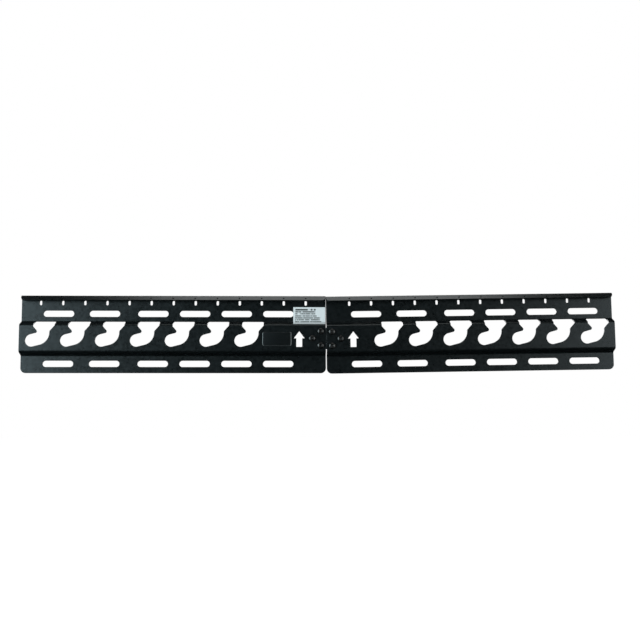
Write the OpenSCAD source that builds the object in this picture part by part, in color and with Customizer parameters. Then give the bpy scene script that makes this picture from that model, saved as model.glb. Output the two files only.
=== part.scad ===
// Wall plate of a television mount, pressed from two lengths of sheet steel.
// The halves butt at a seam and are held in line by a joining plate behind the
// raised band. Wall screws go through the long slots, steel nails through the
// lip, and studs on the television's back drop into the hook cutouts.
// X runs along the plate to the viewer's right, Z is up and the wall is the
// plane Y = 0. The origin is at the seam, level with the bottom edge.

/* [Sheet section] */
// Thickness of the steel sheet
sheet_t = 2; // [1.6:0.1:2.4]
// Inner radius of the bends
bend_r = 2; // [1.6:0.1:2.4]
// Height of the lower strip that lies on the wall, to the sharp bend line
lower_web_h = 26; // [24:0.5:28]
// Height of each sloped step between a wall strip and the raised band
step_h = 5; // [4:0.5:7]
// How far the raised band stands forward of the wall strips
step_depth = 11; // [9:0.5:13]
// Height of the raised band between the sharp bend lines
band_h = 38; // [37:0.5:40]
// Overall height, to the crest of the fold at the top
plate_top = 112.3; // [111:0.1:114]
// Inner radius of that fold
fold_r = 1; // [1:0.1:1.5]
// Straight length of the lip that comes forward and down from the fold
lip_len = 8.1; // [7:0.1:8.5]
// Slope of the lip below level, in degrees
lip_drop = 45; // [40:1:55]
// Radius of the lip's two free corners on each half
lip_corner_r = 6.5; // [3:0.5:6.5]

/* [Two halves] */
// Length of the left half
left_len = 441; // [439:0.5:460]
// Length of the right half
right_len = 419.5; // [418:0.5:440]
// Gap at the foot of the seam
seam_gap = 1.4; // [1.4:0.1:2]
// Upward turn of the right half in the play of the joint, in degrees
right_turn = 0.9; // [0:0.1:0.9]
// How far the foot of the right half sits below the left half
right_drop = 0.7; // [0:0.1:0.8]
// How far the left half's seam end is cut out of square, in degrees
seam_slant = 0.3; // [0.3:0.1:0.5]
// Radius of the bottom corners
corner_r = 7.5; // [4:0.5:9]

/* [Wall slots] */
// End-to-end length of a wall slot
slot_len = 44; // [36:1:46]
// Width of a wall slot
slot_w = 9; // [7:0.5:10]
// Height of the lower row's centre line
lower_slot_z = 13.4; // [12.5:0.1:14.5]
// Height of the upper row's centre line
upper_slot_z = 86; // [84.5:0.5:87]
// Distance from the seam to the left half's outermost slot
left_slot_x = 387.3; // [386:0.1:388.5]
// Distance from the right half's seam end to its first slot
right_slot_x = 58.6; // [57:0.1:60]
// Step from a half's first slot to its second, from left to right
first_slot_step = 66.5; // [65:0.5:68]
// Step from a half's second slot to its third
second_slot_step = 70; // [68:0.5:72]
// Step between the slots after the third
slot_step = 60.5; // [59:0.5:61]

/* [Television hooks] */
// Hooks on each half
hook_count = 7; // [3:1:7]
// Pitch of the hooks, which suits hole grids in steps of 50 mm
hook_pitch = 50; // [50:50:50]
// Height of the seats
seat_z = 46.8; // [46:0.1:48]
// Distance from the seam to the left half's last seat
left_seat_x = 123.1; // [122:0.1:125]
// Distance from the right half's seam end to its first seat
right_seat_x = 78.3; // [77:0.1:80]
// Radius of the round seat that a stud rests in
seat_r = 9; // [8.5:0.1:9.3]
// Radius of the bowl that leads from the passage down to the seat
bowl_r = 18.3; // [18:0.1:18.6]
// Radius of the beak that keeps a stud in its seat
beak_r = 2.75; // [2:0.25:3]
// Radius where the passage's right wall opens into the funnel
flare_r = 4; // [3:0.5:4.5]
// Slope of the funnel's sides from upright, in degrees
flare_angle = 41.5; // [38:0.5:44]
// Width of the funnel's mouth
funnel_w = 30.8; // [30:0.1:32]
// Radius of the funnel's top corners
funnel_corner_r = 2; // [1:0.5:3]

/* [Nail guides] */
// Pitch of the nail guides along the lip
nail_pitch = 32; // [31:0.5:32.5]
// Guides on the left half
left_nail_count = 13; // [5:1:13]
// Guides on the right half
right_nail_count = 12; // [5:1:12]
// Distance from the seam to the left half's last guide
left_nail_x = 29.5; // [28:0.5:32]
// Distance from the right half's seam end to its first guide
right_nail_x = 34.2; // [33:0.1:36]
// Width of the slot under the lip
nail_slot_w = 3.2; // [2.5:0.1:3.6]
// Height of the slot under the lip
nail_slot_h = 6.6; // [5:0.1:7]
// Height of the slot's centre
nail_slot_z = 101.7; // [100.5:0.1:102]
// Distance of the hole through the lip from the lip's free edge
nail_hole_v = 3.6; // [3:0.1:4.5]
// Diameter of the hole through the lip
nail_hole_d = 2.4; // [1.6:0.1:2.8]

/* [Arrows] */
// Distance of each arrow's centre line from its half's seam end
arrow_x = 38.8; // [37.5:0.1:40]
// Height of the arrow's tip
arrow_tip_z = 60.3; // [58:0.1:61]
// Height of the whole arrow
arrow_h = 22.6; // [18:0.1:23]
// Height of the arrow's head
arrow_head_h = 10.2; // [8:0.1:11]
// Width of the arrow's head
arrow_head_w = 15.6; // [12:0.1:16]
// Width of the arrow's stem
arrow_stem_w = 8.4; // [6:0.1:9]

/* [Joint] */
// Distance of the paired joint screws from their half's seam end
pair_x = 7.9; // [7.5:0.1:8.5]
// Distance of the single joint screw from its half's seam end
single_x = 20.3; // [19:0.1:22]
// Height of the single screws, which is the middle of the group
joint_z = 50; // [49.5:0.1:50.5]
// Rise of the paired screws above and below the single ones
pair_rise = 10.2; // [9:0.1:10.5]
// Length of the joining plate
joiner_l = 58; // [56:1:60]
// Height of the joining plate
joiner_h = 31; // [30:0.5:31.5]
// Thickness of the joining plate
joiner_t = 2.5; // [2:0.5:3]
// Radius of the joining plate's corners
joiner_corner_r = 4; // [2:0.5:6]
// Diameter of the screws' shanks
shank_d = 4.9; // [4:0.1:5]
// Length of the screws under the head
shank_l = 10; // [9.5:0.5:10.5]
// Diameter of the domed screw heads
head_d = 9.2; // [8:0.1:9.5]
// Height of the domed screw heads
head_h = 2.6; // [2:0.1:2.8]
// Size across flats of the socket in the heads
socket_w = 3; // [2.5:0.5:3]
// Depth of the socket
socket_depth = 1.6; // [1:0.1:2]
// Size across flats of the nuts
nut_w = 8; // [7:0.5:8]
// Thickness of the nuts
nut_t = 4; // [3:0.1:4]
// Diameter of the screw holes in the sheets
clearance_d = 5.6; // [5.3:0.1:6]

/* [Label and pad] */
// Width of the label
label_w = 46.4; // [40:0.1:47]
// Height of the label's top edge
label_top_z = 96.1; // [92:0.1:97]
// Length of the label that is folded onto the sloped step
label_fold_l = 7; // [4:0.5:7.5]
// Distance of the label's right edge from the seam
label_x = 1.2; // [1:0.1:3]
// Thickness of the label
label_t = 0.15; // [0.1:0.05:0.3]
// Width of the black pad on the raised band
pad_w = 41.4; // [36:0.1:42]
// Height of the pad
pad_h = 19.8; // [16:0.1:21]
// Thickness of the pad
pad_t = 0.8; // [0.5:0.1:1.5]
// Distance of the pad's right edge from the seam
pad_x = 50.3; // [50:0.1:51]
// Height of the pad's bottom edge
pad_z = 39.3; // [38.5:0.1:41]

/* [Hidden] */
$fn = 64;
plate_color = "#25292b";
steel_color = "#5d6163";
label_color = "#c3cdcf";
pad_color = "#1a1c1e";
// Angle that the sheet turns through at each bend of a sloped step
step_turn = atan(step_depth / step_h);
step_len = norm([step_depth, step_h]);
mid_bend_r = bend_r + sheet_t / 2;
// Each bend is made of flats that turn through about this angle
bend_step = 8.5;
step_inset = mid_bend_r * tan(step_turn / 2);
mid_fold_r = fold_r + sheet_t / 2;
fold_c = [sheet_t + fold_r, plate_top - sheet_t - fold_r];
lip_edge = fold_c + polar(mid_fold_r, 90 - lip_drop) + polar(lip_len, -lip_drop);
band_y = -step_depth - sheet_t;
upper_web_z = lower_web_h + 2 * step_h + band_h;
// Straight lengths and turns of the section, from the bottom edge to the lip
section_runs = [
    lower_web_h - step_inset,
    step_len - 2 * step_inset,
    band_h - 2 * step_inset,
    step_len - 2 * step_inset,
    fold_c.y - upper_web_z - step_inset,
    lip_len
];
section_turns = [step_turn, -step_turn, -step_turn, step_turn, 90 + lip_drop];
section_radii = [mid_bend_r, mid_bend_r, mid_bend_r, mid_bend_r, mid_fold_r];
// Cutters reach this far beyond what they cut
over = 1;
// Straight edges of a cutout run this far into the arcs that they meet
bite = 0.05;
// Sectors of a cutout reach this many degrees into what they join
lap = 8;
cut_depth = step_depth + sheet_t + 8;
slot_x = [0, first_slot_step, first_slot_step + second_slot_step,
    for (i = [1:3]) first_slot_step + second_slot_step + i * slot_step];
// Hook outline, from the seat's centre
bowl_c = [7.3, 11.4];
beak_c = [4.7, 13.3];
funnel_left = 2;
funnel_right = funnel_left + funnel_w;
funnel_top = 27.6;
// Where the flare's arc meets the bowl's, in degrees above level
flare_meet = 1.3;
flare_c = bowl_c + polar(bowl_r + flare_r - bite, flare_meet);
// Lean of the straight edge under the seat and bowl, which touches both arcs
floor_tilt = atan2(bowl_c.y, bowl_c.x) + 90 - acos((seat_r - bowl_r) / norm(bowl_c));
// Lean of the beak's underside, which touches the seat's and the beak's arcs
roof_tilt = atan2(beak_c.y, beak_c.x) - 90 + acos((seat_r + beak_r) / norm(beak_c));
screw_places = [[pair_x, pair_rise], [single_x, 0], [pair_x, -pair_rise]];
// Room for the plain shank in a nut's bore
bore_play = 0.1;
joiner_y = band_y + sheet_t;
nut_y = joiner_y + joiner_t;

function polar(r, a) = r * [cos(a), sin(a)];

// Places down the middle of a folded strip, each as [point, heading]. X is the
// distance in front of the wall and Y is up. A positive turn leans it forward.
function strip_places(runs, turns, radii, p, a, i = 0) =
    let (end = p + polar(runs[i], a))
    i == len(turns) ? [[p, a], [end, a]] :
    let (
        turn = turns[i],
        r = radii[i],
        inward = a - 90 * sign(turn),
        centre = end + polar(r, inward),
        steps = ceil(abs(turn) / bend_step),
        bend = [for (k = [0:steps]) let (done = turn * k / steps)
            [centre - polar(r, inward - done), a - done]]
    )
    concat([[p, a]], [for (k = [0:steps - 1]) bend[k]],
        strip_places(runs, turns, radii, bend[steps][0], a - turn, i + 1));

// Section of a folded strip of thickness t, with the radii of its bends at mid-sheet
module folded_section(runs, turns, radii, t, start, heading = 90) {
    places = strip_places(runs, turns, radii, start, heading);
    last = len(places) - 1;
    polygon(concat(
        [for (place = places) place[0] + polar(t / 2, place[1] + 90)],
        [for (i = [last:-1:0]) places[i][0] + polar(t / 2, places[i][1] - 90)]
    ));
}

// Carries a section that stands in front of the wall along X
module along_x(from, to) {
    translate([from, 0, 0]) mirror([0, 1, 0]) rotate([90, 0, 90])
        linear_extrude(to - from) children();
}

// Cuts an outline in X and Z back to front, right through the plate if not told
module through_plate(depth = cut_depth) {
    translate([0, over, 0]) rotate([90, 0, 0]) linear_extrude(depth) children();
}

// Cuts an outline through the lip alone, with Y measured up from its free edge
module through_lip() {
    translate([0, -lip_edge.x, lip_edge.y]) rotate([lip_drop, 0, 0])
        linear_extrude(2 * sheet_t, center = true) children();
}

module oblong(length, width) {
    square([length - width, width], center = true);
    for (side = [-1, 1]) translate([side * (length - width) / 2, 0]) circle(d = width);
}

// Square less a quarter circle, which rounds a corner at the origin
module corner_waste(r) {
    difference() {
        translate([-over, -over]) square(r + over);
        translate([r, r]) circle(r);
    }
}

// Round seat, straight floor and bowl, which a stud slides along
module seat_and_bowl() {
    circle(seat_r);
    polygon([
        [0, 0],
        polar(seat_r - bite, floor_tilt - 90),
        bowl_c + polar(bowl_r - bite, floor_tilt - 90),
        bowl_c,
        beak_c,
        beak_c - polar(beak_r - bite, roof_tilt + 90),
        polar(seat_r - bite, roof_tilt + 90)
    ]);
    translate(bowl_c) intersection() {
        circle(bowl_r);
        polygon([
            [0, 0],
            polar(2 * bowl_r, floor_tilt - 90 - lap),
            polar(2 * bowl_r, floor_tilt / 2 - 45),
            polar(2 * bowl_r, lap)
        ]);
    }
}

// Mouth that catches a stud, reaching up the sloped step
module funnel() {
    left_low = beak_c + polar(beak_r - bite, 90 - flare_angle);
    right_low = flare_c + polar(flare_r - bite, 90 + flare_angle);
    left_rise = (left_low.x - funnel_left) / tan(flare_angle);
    right_rise = (funnel_right - right_low.x) / tan(flare_angle);
    inset = funnel_corner_r;
    polygon([
        left_low,
        beak_c,
        bowl_c,
        flare_c,
        right_low,
        [funnel_right, right_low.y + right_rise],
        [funnel_right, funnel_top - inset],
        [funnel_right - inset, funnel_top],
        [funnel_left + inset, funnel_top],
        [funnel_left, funnel_top - inset],
        [funnel_left, left_low.y + left_rise]
    ]);
    for (x = [funnel_left + inset, funnel_right - inset])
        translate([x, funnel_top - inset]) circle(inset);
}

module hook_outline() {
    difference() {
        union() {
            seat_and_bowl();
            funnel();
        }
        translate(beak_c) circle(beak_r);
        translate(flare_c) circle(flare_r);
    }
}

// Upright arrow with its tip at the origin
module arrow_outline() {
    neck = -arrow_head_h;
    half_head = arrow_head_w / 2;
    half_stem = arrow_stem_w / 2;
    polygon([
        [0, 0],
        [half_head, neck],
        [half_stem, neck],
        [half_stem, -arrow_h],
        [-half_stem, -arrow_h],
        [-half_stem, neck],
        [-half_head, neck]
    ]);
}

// Hole through the lip, square to it, and the slot behind where the nail leaves
module nail_guide() {
    translate([0, 0, nail_slot_z])
        through_plate(sheet_t + 2 * over) rotate(90) oblong(nail_slot_h, nail_slot_w);
    through_lip() translate([0, nail_hole_v]) circle(d = nail_hole_d);
}

// Waste at the bottom corner and the lip's corner of an end that faces -X
module end_corners() {
    through_plate() corner_waste(corner_r);
    through_lip() corner_waste(lip_corner_r);
}

// One half of the plate between two ends, with its cutouts at the given places.
// The sign side says which way the half runs from the seam.
module half_plate(from, to, side, slots, hooks, nails) {
    difference() {
        along_x(from, to)
            folded_section(section_runs, section_turns, section_radii, sheet_t, [sheet_t / 2, 0]);
        translate([from, 0, 0]) end_corners();
        translate([to, 0, 0]) mirror([1, 0, 0]) end_corners();
        for (x = slots, z = [lower_slot_z, upper_slot_z])
            translate([x, 0, z]) through_plate() oblong(slot_len, slot_w);
        for (x = hooks) translate([x, 0, seat_z]) through_plate() hook_outline();
        for (x = nails) translate([x, 0, 0]) nail_guide();
        translate([side * arrow_x, 0, arrow_tip_z]) through_plate() arrow_outline();
        for (place = screw_places)
            translate([side * place.x, 0, joint_z + place.y])
                through_plate() circle(d = clearance_d);
    }
}

// Puts what belongs to the right half where the joint holds it
module place_right() {
    translate([seam_gap, 0, -right_drop]) rotate([0, -right_turn, 0]) children();
}

// Puts something at a joint screw: the first three are on the left half
module at_screw(i) {
    place = screw_places[i % 3];
    if (i < 3) translate([-place.x, 0, joint_z + place.y]) children();
    else place_right() translate([place.x, 0, joint_z + place.y]) children();
}

module left_wall_plate() {
    color(plate_color) difference() {
        half_plate(-left_len, 0, -1,
            slots = [for (x = slot_x) x - left_slot_x],
            hooks = [for (i = [0:hook_count - 1]) -left_seat_x - i * hook_pitch],
            nails = [for (i = [0:left_nail_count - 1]) -left_nail_x - i * nail_pitch]);
        translate([0, over - cut_depth, corner_r]) rotate([0, -seam_slant, 0])
            cube([over, cut_depth, plate_top]);
    }
}

module right_wall_plate() {
    color(plate_color) place_right()
        half_plate(0, right_len, 1,
            slots = [for (x = slot_x) x + right_slot_x],
            hooks = [for (i = [0:hook_count - 1]) right_seat_x + i * hook_pitch],
            nails = [for (i = [0:right_nail_count - 1]) right_nail_x + i * nail_pitch]);
}

module joining_plate() {
    half_l = joiner_l / 2;
    half_h = joiner_h / 2;
    color(plate_color) difference() {
        translate([seam_gap / 2 - half_l, joiner_y, joint_z - half_h])
            cube([joiner_l, joiner_t, joiner_h]);
        for (side_x = [-1, 1], side_z = [-1, 1])
            translate([seam_gap / 2 + side_x * half_l, 0, joint_z + side_z * half_h])
                mirror([side_x > 0 ? 1 : 0, 0, 0]) mirror([0, 0, side_z > 0 ? 1 : 0])
                    through_plate() corner_waste(joiner_corner_r);
        for (i = [0:5]) at_screw(i) through_plate() circle(d = clearance_d);
    }
}

// Domed head with a hexagon socket, and a plain shank
module joint_screw() {
    dome_r = (pow(head_d / 2, 2) + pow(head_h, 2)) / (2 * head_h);
    color(steel_color) translate([0, band_y, 0]) rotate([90, 0, 0]) difference() {
        union() {
            intersection() {
                translate([0, 0, head_h - dome_r]) sphere(dome_r);
                cylinder(d = head_d, h = head_h + over);
            }
            translate([0, 0, -shank_l]) cylinder(d = shank_d, h = shank_l + over);
        }
        translate([0, 0, head_h - socket_depth])
            cylinder(d = socket_w / cos(30), h = socket_depth + over, $fn = 6);
    }
}

module joint_nut() {
    color(steel_color) translate([0, nut_y, 0]) rotate([-90, 0, 0]) difference() {
        cylinder(d = nut_w / cos(30), h = nut_t, $fn = 6);
        translate([0, 0, -over]) cylinder(d = shank_d + bore_play, h = nut_t + 2 * over);
    }
}

// Sticker on the upper strip, with its foot folded onto the sloped step
module blank_label() {
    half_t = label_t / 2;
    web_len = label_top_z - upper_web_z - step_inset;
    color(label_color) along_x(-label_x - label_w, -label_x)
        folded_section([web_len, label_fold_l], [-step_turn], [bend_r - half_t], label_t,
            [sheet_t + half_t, label_top_z], 270);
}

module black_pad() {
    color(pad_color) translate([-pad_x - pad_w, band_y - pad_t, pad_z])
        cube([pad_w, pad_t, pad_h]);
}

left_wall_plate();
right_wall_plate();
joining_plate();
for (i = [0:5]) at_screw(i) joint_screw();
for (i = [0:5]) at_screw(i) joint_nut();
blank_label();
black_pad();
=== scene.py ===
"""Looks of a long black wall plate for a television, in two halves joined by screws."""

import math

import bpy
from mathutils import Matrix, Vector


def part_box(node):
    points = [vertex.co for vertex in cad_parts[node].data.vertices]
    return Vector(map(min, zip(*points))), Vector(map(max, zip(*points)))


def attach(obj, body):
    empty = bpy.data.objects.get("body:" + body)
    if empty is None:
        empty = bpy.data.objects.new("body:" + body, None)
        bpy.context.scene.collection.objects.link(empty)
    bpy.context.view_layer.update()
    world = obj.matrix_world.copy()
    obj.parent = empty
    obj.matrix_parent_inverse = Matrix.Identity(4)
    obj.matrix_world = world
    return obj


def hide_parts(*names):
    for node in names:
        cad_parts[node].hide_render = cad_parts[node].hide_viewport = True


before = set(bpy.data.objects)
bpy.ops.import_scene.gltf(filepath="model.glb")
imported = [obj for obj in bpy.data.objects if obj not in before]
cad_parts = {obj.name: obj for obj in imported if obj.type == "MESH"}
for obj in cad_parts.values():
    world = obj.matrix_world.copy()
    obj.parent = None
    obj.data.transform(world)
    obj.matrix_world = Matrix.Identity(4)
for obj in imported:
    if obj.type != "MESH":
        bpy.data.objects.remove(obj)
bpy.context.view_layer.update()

MM = 0.001
MM_PER_METRE = 1000
QUARTER = math.radians(90)

# Camera, worked out from the plate's own measures in the photograph
CAMERA_PLACE = (-0.03316, -1.31124, -0.02632)
CAMERA_UP_DEG = 4.531
CAMERA_TURN_DEG = -1.073
CAMERA_LENS_MM = 50.7
SENSOR_MM = 36

# Floor, room and lamps
FLOOR_Z = -0.45
FLOOR_SIZE = 14
FLOOR_GREY = 0.8
FLOOR_GLOW = 0.6
ROOM_LIGHT = 0.5
CARD_BLACK = 0.001
COOL_WHITE = (0.84, 1, 1.05)
WARM_WHITE = (1.05, 1, 0.97)
PLAIN_WHITE = (1, 1, 1)
PLATE_MIDDLE = (0, 0, 0.05)

# Lamps: name, place, what it faces, width and height, power and colour
LAMPS = [
    ("left_softbox", (-1.62, -1.0, 0.1), PLATE_MIDDLE, (1.5, 1.7), 56, COOL_WHITE),
    ("right_softbox", (1.62, -1.0, 0.1), PLATE_MIDDLE, (1.4, 1.7), 20, PLAIN_WHITE),
    ("top_softbox", (0.02, 0.09, 1.1), (0.02, 0.09, 0), (0.92, 0.9), 5.6, WARM_WHITE),
    ("back_softbox", (0, 1.7, 0.6), PLATE_MIDDLE, (1.8, 1.0), 14, PLAIN_WHITE),
]

# Black cards that only reflections see: name, place, size and turn
CARDS = [
    ("front_card", (-0.02, -1.75, 0.2), (1.9, 3.4), (QUARTER, 0, 0)),
    ("top_card", (0, 0.2, 1.3), (4.4, 3.9), (0, 0, 0)),
    ("bottom_card", (0, 0.2, FLOOR_Z + 0.05), (4.4, 3.9), (0, 0, 0)),
]

# Faint blue-green of the black coat's gloss
COAT_TINT = (0.86, 1, 1.05, 1)

# Unevenness of every finish
BLOTCHES_PER_METRE = 260.0
CLOUDS_PER_METRE = 24.0

# Joint screws and nuts
FASTENER_COUNT = 6
ROUND_SIDES = 48
BAND_FRONT_Y = -13 * MM
HEAD_R = 4.6 * MM
HEAD_H = 2.36 * MM
RIM_H = 0.35 * MM
CROWN_R = 2.3 * MM
SOCKET_ACROSS_FLATS = 3 * MM
SOCKET_DEEP = 1.6 * MM
SHANK_R = 2.42 * MM
SHANK_L = 10 * MM
THREAD_CORE_R = 2.08 * MM
THREAD_PITCH = 0.8 * MM
THREAD_TURNS = 9
THREAD_STEPS = 24
THREAD_SUNK = 0.05 * MM
THREAD_HALF_WIDTH = 0.42 * THREAD_PITCH
DOME_RINGS = 6
SOCKET_EDGE = 0.12 * MM
TIP_BEVEL = 0.45 * MM
HEX_FLAT_TO_CORNER = 1 / math.cos(math.radians(30))
NUT_BACK_Y = -4.5 * MM
NUT_H = 4 * MM
NUT_ACROSS_FLATS = 8 * MM
NUT_BORE_R = 2.45 * MM
NUT_CORNER_BEVEL = 0.75 * MM
NUT_EDGE = 0.1 * MM

# Thin black pad on the raised band
PAD_CORNER_R = 2.2 * MM
PAD_CORNER_STEPS = 8
PAD_ROUNDING = 0.72 * MM
PAD_ROUNDING_STEPS = 4

# Noise levels between which a dash fades in from bare film
PRINT_GAP = 0.28
PRINT_SOLID = 0.44

# Printing on the label: height in millimetres of each row of dashes, with the
# heights of its marks, its left and right ends and the length of its marks
LABEL_ROWS = [
    (92.4, 2.5, -44.6, -15.0, 2.3),
    (89.3, 1.9, -44.6, -15.6, 2.1),
    (86.4, 1.6, -44.8, -15.5, 2.4),
    (83.3, 1.6, -44.8, -13.5, 1.9),
    (80.4, 1.6, -44.8, -8.6, 2.2),
    (77.7, 1.6, -44.8, -8.8, 2.5),
    (74.8, 1.5, -44.8, -6.5, 1.9),
]


# Small tools

def clear_selection():
    bpy.ops.object.select_all(action="DESELECT")


def work_on(piece):
    clear_selection()
    piece.select_set(True)
    bpy.context.view_layer.objects.active = piece


def new_material(name):
    material = bpy.data.materials.new(name)
    material.use_nodes = True
    material.node_tree.nodes.clear()
    return material, material.node_tree


def add_node(tree, kind, **settings):
    node = tree.nodes.new(kind)
    for name, value in settings.items():
        setattr(node, name, value)
    return node


def wire(tree, socket, value):
    """Joins a socket to another socket, or sets it to a plain value."""
    if isinstance(value, bpy.types.NodeSocket):
        tree.links.new(value, socket)
    else:
        socket.default_value = value


def math_node(tree, operation, first, second=0.0, clamp=False):
    node = add_node(tree, "ShaderNodeMath", operation=operation, use_clamp=clamp)
    wire(tree, node.inputs[0], first)
    wire(tree, node.inputs[1], second)
    return node.outputs[0]


def new_group(name, inputs, outputs):
    """A node group whose sockets are given as name: (type, starting value)."""
    tree = bpy.data.node_groups.new(name, "ShaderNodeTree")
    for side, sockets in (("INPUT", inputs), ("OUTPUT", outputs)):
        for socket, (kind, start) in sockets.items():
            made = tree.interface.new_socket(socket, in_out=side, socket_type=kind)
            if start is not None:
                made.default_value = start
    return tree, tree.nodes.new("NodeGroupInput"), tree.nodes.new("NodeGroupOutput")


def place_group(tree, group, **values):
    node = add_node(tree, "ShaderNodeGroup", node_tree=group)
    for name, value in values.items():
        wire(tree, node.inputs[name.replace("_", " ")], value)
    return node


def span(tree, source, low, high, start=0.0, end=1.0):
    """Spreads a value that runs from start to end between low and high."""
    node = add_node(tree, "ShaderNodeMapRange")
    for name, value in (("Value", source), ("From Min", start), ("From Max", end),
                        ("To Min", low), ("To Max", high)):
        wire(tree, node.inputs[name], value)
    return node.outputs["Result"]


def blend(tree, factor, first, second):
    """Mixes two colours, each a socket or three numbers."""
    node = add_node(tree, "ShaderNodeMix", data_type="RGBA")
    for name, colour in (("A", first), ("B", second)):
        wire(tree, node.inputs[name], (*colour, 1) if isinstance(colour, tuple) else colour)
    wire(tree, node.inputs["Factor"], factor)
    return node.outputs["Result"]


def relief(tree, height, normal, strength, depth):
    """Bump of that depth in metres over a normal."""
    node = add_node(tree, "ShaderNodeBump")
    node.inputs["Strength"].default_value = strength
    node.inputs["Distance"].default_value = depth
    wire(tree, node.inputs["Height"], height)
    if normal is not None:
        wire(tree, node.inputs["Normal"], normal)
    return node.outputs["Normal"]


def surface(tree, **constants):
    """The Principled shader with its constants, joined to the material's output."""
    shader = add_node(tree, "ShaderNodeBsdfPrincipled")
    for name, value in constants.items():
        shader.inputs[name.replace("_", " ")].default_value = value
    output = add_node(tree, "ShaderNodeOutputMaterial")
    tree.links.new(shader.outputs[0], output.inputs["Surface"])
    return shader


# Studio

def make_camera():
    data = bpy.data.cameras.new("photo_camera")
    data.sensor_width = SENSOR_MM
    data.lens = CAMERA_LENS_MM
    camera = bpy.data.objects.new("photo_camera", data)
    camera.location = CAMERA_PLACE
    camera.rotation_euler = (
        math.radians(90 + CAMERA_UP_DEG), 0, math.radians(CAMERA_TURN_DEG))
    bpy.context.scene.collection.objects.link(camera)
    bpy.context.scene.camera = camera


def seen_background(tree):
    """1 for rays that show the background: from the camera, off gloss, through glass."""
    path = add_node(tree, "ShaderNodeLightPath")
    total = path.outputs["Is Camera Ray"]
    for name in ("Is Glossy Ray", "Is Transmission Ray"):
        total = math_node(tree, "ADD", total, path.outputs[name], clamp=True)
    return total


def make_world():
    world = bpy.data.worlds.new("studio")
    bpy.context.scene.world = world
    world.use_nodes = True
    tree = world.node_tree
    tree.nodes.clear()
    room = (ROOM_LIGHT, ROOM_LIGHT, ROOM_LIGHT)
    background = add_node(tree, "ShaderNodeBackground")
    wire(tree, background.inputs["Color"], blend(tree, seen_background(tree), room, PLAIN_WHITE))
    output = add_node(tree, "ShaderNodeOutputWorld")
    tree.links.new(background.outputs[0], output.inputs["Surface"])


def floor_paint():
    """Pale floor that is white to the camera and still takes light and shadow."""
    material, tree = new_material("pale_floor")
    diffuse = add_node(tree, "ShaderNodeBsdfDiffuse")
    diffuse.inputs["Color"].default_value = (FLOOR_GREY, FLOOR_GREY, FLOOR_GREY, 1)
    glow = add_node(tree, "ShaderNodeEmission")
    wire(tree, glow.inputs["Strength"],
         math_node(tree, "MULTIPLY", seen_background(tree), FLOOR_GLOW))
    both = add_node(tree, "ShaderNodeAddShader")
    tree.links.new(diffuse.outputs[0], both.inputs[0])
    tree.links.new(glow.outputs[0], both.inputs[1])
    output = add_node(tree, "ShaderNodeOutputMaterial")
    tree.links.new(both.outputs[0], output.inputs["Surface"])
    return material


def card_cloth():
    material, tree = new_material("black_card")
    diffuse = add_node(tree, "ShaderNodeBsdfDiffuse")
    diffuse.inputs["Color"].default_value = (CARD_BLACK, CARD_BLACK, CARD_BLACK, 1)
    output = add_node(tree, "ShaderNodeOutputMaterial")
    tree.links.new(diffuse.outputs[0], output.inputs["Surface"])
    return material


def flat_panel(name, place, size, turn, material):
    clear_selection()
    bpy.ops.mesh.primitive_plane_add(size=1, location=place, rotation=turn)
    panel = bpy.context.active_object
    panel.name = name
    panel.scale = (size[0], size[1], 1)
    bpy.ops.object.transform_apply(location=True, rotation=True, scale=True)
    panel.data.materials.append(material)
    return panel


def make_stage():
    """The floor, and black cards that only reflections see."""
    flat_panel("floor", (0, 0, FLOOR_Z), (FLOOR_SIZE, FLOOR_SIZE), (0, 0, 0), floor_paint())
    cloth = card_cloth()
    for name, place, size, turn in CARDS:
        card = flat_panel(name, place, size, turn, cloth)
        card.visible_camera = False
        card.visible_diffuse = False
        card.visible_transmission = False
        card.visible_shadow = False


def softbox(name, place, aim, size, power, colour):
    data = bpy.data.lights.new(name, "AREA")
    data.shape = "RECTANGLE"
    data.size, data.size_y = size
    data.energy = power
    data.color = colour
    lamp = bpy.data.objects.new(name, data)
    lamp.location = place
    toward = Vector(aim) - Vector(place)
    lamp.rotation_euler = toward.to_track_quat("-Z", "Y").to_euler()
    lamp.visible_camera = False
    bpy.context.scene.collection.objects.link(lamp)


def make_lamps():
    for lamp in LAMPS:
        softbox(*lamp)


# Shared effects

def rounded_edge_group():
    """Normal of an edge rounded by its coat, and a mask of how near that edge is."""
    tree, given, out = new_group(
        "rounded_edge",
        {"Radius": ("NodeSocketFloat", 0.0003)},
        {"Normal": ("NodeSocketVector", None), "Edge": ("NodeSocketFloat", None)})
    bevel = add_node(tree, "ShaderNodeBevel", samples=6)
    wire(tree, bevel.inputs["Radius"], given.outputs["Radius"])
    geometry = add_node(tree, "ShaderNodeNewGeometry")
    dot = add_node(tree, "ShaderNodeVectorMath", operation="DOT_PRODUCT")
    wire(tree, dot.inputs[0], bevel.outputs["Normal"])
    wire(tree, dot.inputs[1], geometry.outputs["Normal"])
    wire(tree, out.inputs["Normal"], bevel.outputs["Normal"])
    wire(tree, out.inputs["Edge"], span(tree, dot.outputs["Value"], 0, 1, 0.995, 0.8))
    return tree


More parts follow.
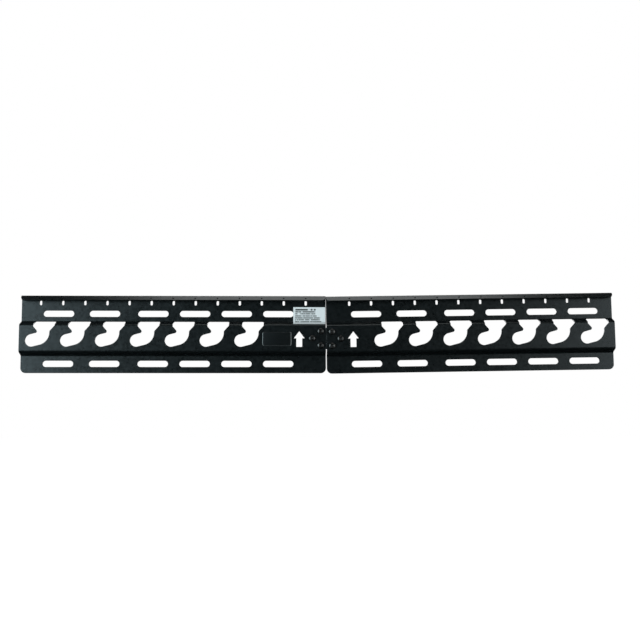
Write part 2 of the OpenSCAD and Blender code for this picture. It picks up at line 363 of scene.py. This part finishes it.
def fine_grain_group():
    """Fine pimples, the blotches of a few millimetres, and slow clouds."""
    tree, given, out = new_group(
        "fine_grain",
        {"Grain Size": ("NodeSocketFloat", 0.0005)},
        {"Height": ("NodeSocketFloat", None), "Blotch": ("NodeSocketFloat", None),
         "Cloud": ("NodeSocketFloat", None)})
    place = add_node(tree, "ShaderNodeTexCoord").outputs["Object"]
    per_metre = math_node(tree, "DIVIDE", 1.0, given.outputs["Grain Size"])
    layers = (("Height", per_metre, 2), ("Blotch", BLOTCHES_PER_METRE, 3),
              ("Cloud", CLOUDS_PER_METRE, 3))
    for socket, scale, detail in layers:
        noise = add_node(tree, "ShaderNodeTexNoise")
        noise.inputs["Detail"].default_value = detail
        wire(tree, noise.inputs["Vector"], place)
        wire(tree, noise.inputs["Scale"], scale)
        wire(tree, out.inputs[socket], noise.outputs["Fac"])
    return tree


def print_marks_group():
    """Rows of dashes of uneven length, like small print seen from afar."""
    tree, given, out = new_group(
        "print_marks",
        {"X": ("NodeSocketFloat", 0.0), "Z": ("NodeSocketFloat", 0.0),
         "Row": ("NodeSocketFloat", 0.0), "Height": ("NodeSocketFloat", 1.0),
         "Left": ("NodeSocketFloat", 0.0), "Right": ("NodeSocketFloat", 0.0),
         "Mark": ("NodeSocketFloat", 1.0)},
        {"Ink": ("NodeSocketFloat", None)})
    far = math_node(tree, "ABSOLUTE", math_node(
        tree, "SUBTRACT", given.outputs["Z"], given.outputs["Row"]))
    half = math_node(tree, "MULTIPLY", given.outputs["Height"], 0.5)
    in_row = math_node(tree, "LESS_THAN", far, half)
    from_left = math_node(tree, "GREATER_THAN", given.outputs["X"], given.outputs["Left"])
    to_right = math_node(tree, "LESS_THAN", given.outputs["X"], given.outputs["Right"])
    dashes = add_node(tree, "ShaderNodeTexNoise", noise_dimensions="2D")
    dashes.inputs["Scale"].default_value = 1
    dashes.inputs["Detail"].default_value = 1
    across = math_node(tree, "DIVIDE", given.outputs["X"], given.outputs["Mark"])
    spot = add_node(tree, "ShaderNodeCombineXYZ")
    wire(tree, spot.inputs[0], across)
    wire(tree, spot.inputs[1], given.outputs["Row"])
    wire(tree, dashes.inputs["Vector"], spot.outputs[0])
    total = span(tree, dashes.outputs["Fac"], 0, 1, PRINT_GAP, PRINT_SOLID)
    for part in (in_row, from_left, to_right):
        total = math_node(tree, "MULTIPLY", total, part)
    wire(tree, out.inputs["Ink"], total)
    return tree


# Finishes

def black_powder_coat():
    material, tree = new_material("black_powder_coat")
    grain = place_group(tree, GROUPS["fine_grain"], Grain_Size=0.00055)
    edge = place_group(tree, GROUPS["rounded_edge"], Radius=0.0004)
    shader = surface(tree, Metallic=0.0, IOR=1.5, Specular_Tint=COAT_TINT)
    deep = (0.0011, 0.0019, 0.0021)
    pale = (0.0022, 0.0033, 0.0036)
    cloudy = blend(tree, grain.outputs["Blotch"], deep, pale)
    # Lighter colour on the rounded edges is a painted highlight: the edges catching the light.
    painted_edge_highlight = (0.012, 0.0145, 0.0145)
    wire(tree, shader.inputs["Base Color"], blend(tree, edge.outputs["Edge"], cloudy, painted_edge_highlight))
    wire(tree, shader.inputs["Roughness"], span(tree, grain.outputs["Blotch"], 0.27, 0.37, 0.3, 0.7))
    wire(tree, shader.inputs["Normal"],
         relief(tree, grain.outputs["Height"], edge.outputs["Normal"], 0.3, 0.00003))
    return material


def blackened_steel():
    material, tree = new_material("blackened_steel")
    grain = place_group(tree, GROUPS["fine_grain"], Grain_Size=0.0003)
    edge = place_group(tree, GROUPS["rounded_edge"], Radius=0.0002)
    shader = surface(tree, Metallic=1.0)
    deep = (0.042, 0.044, 0.044)
    pale = (0.070, 0.072, 0.072)
    oiled = blend(tree, grain.outputs["Blotch"], deep, pale)
    # Lighter colour on the rounded edges and socket rims is a painted highlight: the edges catching the
    # light.
    painted_edge_glint = (0.17, 0.17, 0.165)
    wire(tree, shader.inputs["Base Color"], blend(tree, edge.outputs["Edge"], oiled, painted_edge_glint))
    wire(tree, shader.inputs["Roughness"], span(tree, grain.outputs["Height"], 0.3, 0.42))
    wire(tree, shader.inputs["Normal"],
         relief(tree, grain.outputs["Height"], edge.outputs["Normal"], 0.15, 0.00001))
    return material


def silver_label_film():
    material, tree = new_material("silver_label_film")
    grain = place_group(tree, GROUPS["fine_grain"], Grain_Size=0.0009)
    place = add_node(tree, "ShaderNodeTexCoord").outputs["Object"]
    in_mm = add_node(tree, "ShaderNodeVectorMath", operation="SCALE")
    wire(tree, in_mm.inputs[0], place)
    in_mm.inputs["Scale"].default_value = MM_PER_METRE
    axes = add_node(tree, "ShaderNodeSeparateXYZ")
    wire(tree, axes.inputs[0], in_mm.outputs[0])
    ink = 0.0
    for row, height, left, right, mark in LABEL_ROWS:
        marks = place_group(tree, GROUPS["print_marks"], X=axes.outputs["X"], Z=axes.outputs["Z"],
                            Row=row, Height=height, Left=left, Right=right, Mark=mark)
        ink = math_node(tree, "ADD", ink, marks.outputs["Ink"], clamp=True)
    shader = surface(tree, Metallic=0.0, IOR=1.45)
    dull = (0.42, 0.46, 0.47)
    silver = (0.50, 0.54, 0.55)
    printed = (0.045, 0.052, 0.053)
    film = blend(tree, grain.outputs["Cloud"], dull, silver)
    wire(tree, shader.inputs["Base Color"], blend(tree, ink, film, printed))
    wire(tree, shader.inputs["Roughness"], span(tree, grain.outputs["Height"], 0.38, 0.5))
    wire(tree, shader.inputs["Normal"],
         relief(tree, grain.outputs["Cloud"], None, 0.3, 0.0003))
    return material


def black_pad_film():
    material, tree = new_material("black_pad_film")
    grain = place_group(tree, GROUPS["fine_grain"], Grain_Size=0.0006)
    edge = place_group(tree, GROUPS["rounded_edge"], Radius=0.0002)
    shader = surface(tree, Metallic=0.0, IOR=1.45, Specular_Tint=COAT_TINT)
    # Painted highlight on the pad's rim: faces turned right, less those turned left and least the underside,
    # are made lighter as if lit by the side lamps.
    facing = add_node(tree, "ShaderNodeSeparateXYZ")
    geometry = add_node(tree, "ShaderNodeNewGeometry")
    wire(tree, facing.inputs[0], geometry.outputs["True Normal"])
    right_face_light = span(tree, facing.outputs["X"], 0, 1, 0, 1)
    left_face_light = span(tree, facing.outputs["X"], 0.6, 0, -1, 0)
    under_face_light = span(tree, facing.outputs["Z"], 0.12, 0, -1, 0)
    side_face_light = math_node(tree, "ADD", right_face_light, left_face_light)
    painted_rim_light = math_node(tree, "ADD", side_face_light, under_face_light, clamp=True)
    deep = (0.0009, 0.0016, 0.0018)
    pale = (0.0018, 0.0027, 0.0030)
    painted_rim_highlight = (0.34, 0.37, 0.37)
    cloudy = blend(tree, grain.outputs["Blotch"], deep, pale)
    wire(tree, shader.inputs["Base Color"],
         blend(tree, painted_rim_light, cloudy, painted_rim_highlight))
    wire(tree, shader.inputs["Roughness"], span(tree, grain.outputs["Height"], 0.3, 0.4))
    wire(tree, shader.inputs["Normal"],
         relief(tree, grain.outputs["Height"], edge.outputs["Normal"], 0.2, 0.00002))
    return material


# Pieces

def carry(piece, node, material):
    """Puts a piece on the plate in place of a CAD node, with its finish."""
    piece.name = node + "_made"
    piece.data.name = piece.name
    piece.data.materials.clear()
    piece.data.materials.append(material)
    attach(piece, "root")
    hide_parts(node)


def set_place(piece):
    """Moves an object's place, turn and size into its mesh."""
    work_on(piece)
    bpy.ops.object.transform_apply(location=True, rotation=True, scale=True)


def add_cylinder(radius, depth, low_z, sides=ROUND_SIDES):
    clear_selection()
    bpy.ops.mesh.primitive_cylinder_add(
        vertices=sides, radius=radius, depth=depth, location=(0, 0, low_z + depth / 2))
    piece = bpy.context.active_object
    set_place(piece)
    return piece


def pick_faces(piece, wanted):
    """Selects only the faces that a test on centre and normal wants."""
    mesh = piece.data
    for part in (*mesh.vertices, *mesh.edges):
        part.select = False
    for face in mesh.polygons:
        face.select = wanted(face.center, face.normal)


def pick_edges(piece, wanted):
    """Selects only the edges that a test on their two ends wants."""
    mesh = piece.data
    for part in (*mesh.vertices, *mesh.polygons):
        part.select = False
    for edge in mesh.edges:
        first, second = (mesh.vertices[index].co for index in edge.vertices)
        edge.select = wanted(first, second)


def boolean(piece, tool, operation):
    """Cuts off or keeps what a second closed piece covers, then removes that piece."""
    work_on(piece)
    cut = piece.modifiers.new("cut", "BOOLEAN")
    cut.object = tool
    cut.operation = operation
    cut.solver = "EXACT"
    bpy.ops.object.modifier_apply(modifier=cut.name)
    bpy.data.objects.remove(tool)


def bevel_sharp(piece, width, segments, least_deg):
    work_on(piece)
    bevel = piece.modifiers.new("bevel", "BEVEL")
    bevel.width = width
    bevel.segments = segments
    bevel.limit_method = "ANGLE"
    bevel.angle_limit = math.radians(least_deg)
    bpy.ops.object.modifier_apply(modifier=bevel.name)


def dome_on(piece, base_r, base_z, top_r, top_z, rings):
    """Raises the top face of a round piece in rings that follow an arc."""
    work_on(piece)
    radius = base_r
    height = base_z
    for ring in range(1, rings + 1):
        turn = QUARTER * ring / rings
        next_radius = top_r + (base_r - top_r) * math.cos(turn)
        next_height = base_z + (top_z - base_z) * math.sin(turn)
        bpy.ops.object.mode_set(mode="OBJECT")
        pick_faces(piece, lambda at, normal: normal.z > 0.9 and at.z > height - 0.01 * MM)
        bpy.ops.object.mode_set(mode="EDIT")
        bpy.ops.mesh.select_mode(type="FACE")
        bpy.ops.mesh.extrude_region_move(
            TRANSFORM_OT_translate={"value": (0, 0, next_height - height)})
        factor = next_radius / radius
        bpy.ops.transform.resize(
            value=(factor, factor, 1), center_override=(0, 0, next_height))
        radius = next_radius
        height = next_height
    bpy.ops.object.mode_set(mode="OBJECT")


def thread_ridge(core_r, outer_r, pitch, turns, start_z):
    """A helical ridge with a pointed section, closed at both ends."""
    clear_selection()
    bpy.ops.mesh.primitive_circle_add(vertices=3, radius=1, fill_type="NOTHING")
    ridge = bpy.context.active_object
    root = core_r - THREAD_SUNK
    section = ((root, -THREAD_HALF_WIDTH), (outer_r, 0), (root, THREAD_HALF_WIDTH))
    for corner, (radius, height) in zip(ridge.data.vertices, section):
        corner.co = (radius, 0, start_z + height)
    screw = ridge.modifiers.new("screw", "SCREW")
    screw.steps = THREAD_STEPS
    screw.render_steps = THREAD_STEPS
    screw.iterations = turns
    screw.screw_offset = -pitch
    screw.use_smooth_shade = False
    work_on(ridge)
    bpy.ops.object.modifier_apply(modifier=screw.name)
    bpy.ops.object.mode_set(mode="EDIT")
    bpy.ops.mesh.select_mode(type="EDGE")
    bpy.ops.mesh.select_all(action="DESELECT")
    bpy.ops.mesh.select_non_manifold()
    bpy.ops.mesh.fill_holes(sides=3)
    bpy.ops.mesh.select_all(action="SELECT")
    bpy.ops.mesh.normals_make_consistent(inside=False)
    bpy.ops.object.mode_set(mode="OBJECT")
    return ridge


def join_all(pieces):
    clear_selection()
    for piece in pieces:
        piece.select_set(True)
    bpy.context.view_layer.objects.active = pieces[0]
    bpy.ops.object.join()
    return pieces[0]


def smooth(piece, degrees=35):
    work_on(piece)
    bpy.ops.object.shade_smooth_by_angle(angle=math.radians(degrees))


def make_screw():
    """Domed screw with a hexagon socket, standing on Z = 0 with its shank below."""
    head = add_cylinder(HEAD_R, RIM_H, 0)
    dome_on(head, HEAD_R, RIM_H, CROWN_R, HEAD_H, DOME_RINGS)
    socket = add_cylinder(SOCKET_ACROSS_FLATS / 2 * HEX_FLAT_TO_CORNER,
                          SOCKET_DEEP + MM, HEAD_H - SOCKET_DEEP, 6)
    boolean(head, socket, "DIFFERENCE")
    bevel_sharp(head, SOCKET_EDGE, 2, 40)
    threaded = (THREAD_TURNS + 1) * THREAD_PITCH
    neck = add_cylinder(SHANK_R, SHANK_L - threaded + 0.2 * MM, threaded - SHANK_L)
    core = add_cylinder(THREAD_CORE_R, SHANK_L, -SHANK_L)
    bevel_sharp(core, TIP_BEVEL, 1, 40)
    ridge = thread_ridge(THREAD_CORE_R, SHANK_R, THREAD_PITCH, THREAD_TURNS,
                         threaded - SHANK_L - 0.1 * THREAD_PITCH)
    screw = join_all([head, neck, core, ridge])
    smooth(screw)
    return screw


def make_nut():
    """Hexagon nut between Z = 0 and its height, its corners turned off at both faces."""
    corner_r = NUT_ACROSS_FLATS / 2 * HEX_FLAT_TO_CORNER
    nut = add_cylinder(corner_r, NUT_H, 0, 6)
    turned = add_cylinder(corner_r + 0.02 * MM, NUT_H, 0)
    bevel_sharp(turned, NUT_CORNER_BEVEL, 1, 40)
    boolean(nut, turned, "INTERSECT")
    bore = add_cylinder(NUT_BORE_R, NUT_H + 2 * MM, -MM)
    boolean(nut, bore, "DIFFERENCE")
    bevel_sharp(nut, NUT_EDGE, 1, 40)
    smooth(nut)
    return nut


def place_copy(model, node, seat_y, back, material):
    """A copy of a fastener at a CAD node's axis. It faces the viewer, or the wall if back."""
    low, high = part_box(node)
    piece = model.copy()
    piece.data = model.data.copy()
    bpy.context.scene.collection.objects.link(piece)
    piece.rotation_euler = (-QUARTER if back else QUARTER, 0, 0)
    piece.location = ((low.x + high.x) / 2, seat_y, (low.z + high.z) / 2)
    set_place(piece)
    carry(piece, node, material)


def make_fasteners(steel):
    screw = make_screw()
    nut = make_nut()
    for number in range(1, FASTENER_COUNT + 1):
        place_copy(screw, f"joint_screw_{number}", BAND_FRONT_Y, False, steel)
        place_copy(nut, f"joint_nut_{number}", NUT_BACK_Y - NUT_H, True, steel)
    for model in (screw, nut):
        bpy.data.objects.remove(model)


def bevel_edges(piece, wanted, offset, segments):
    """Bevels the edges that a test on their two ends wants."""
    work_on(piece)
    pick_edges(piece, wanted)
    bpy.ops.object.mode_set(mode="EDIT")
    bpy.ops.mesh.select_mode(type="EDGE")
    bpy.ops.mesh.bevel(offset=offset, segments=segments, affect="EDGES")
    bpy.ops.object.mode_set(mode="OBJECT")


def make_pad(film):
    """Thin slab with rounded corners and softly rounded edges."""
    low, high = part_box("black_pad")
    clear_selection()
    bpy.ops.mesh.primitive_cube_add(size=1, location=(low + high) / 2)
    pad = bpy.context.active_object
    pad.scale = high - low
    set_place(pad)
    bevel_edges(pad, lambda first, second: abs(first.y - second.y) > 0.1 * MM, PAD_CORNER_R, PAD_CORNER_STEPS)
    bevel_edges(pad, lambda first, second: max(first.y, second.y) < low.y + 0.01 * MM,
                PAD_ROUNDING, PAD_ROUNDING_STEPS)
    smooth(pad, 20)
    carry(pad, "black_pad", film)


def dress(node, material):
    """Gives a CAD piece its finish."""
    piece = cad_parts[node]
    piece.data.materials.clear()
    piece.data.materials.append(material)


make_camera()
make_world()
make_stage()
make_lamps()

GROUPS = {
    "rounded_edge": rounded_edge_group(),
    "fine_grain": fine_grain_group(),
    "print_marks": print_marks_group(),
}

coat = black_powder_coat()
for name in ("left_wall_plate", "right_wall_plate", "joining_plate"):
    dress(name, coat)
dress("blank_label", silver_label_film())
make_fasteners(blackened_steel())
make_pad(black_pad_film())

bpy.context.scene.view_settings.view_transform = "Standard"
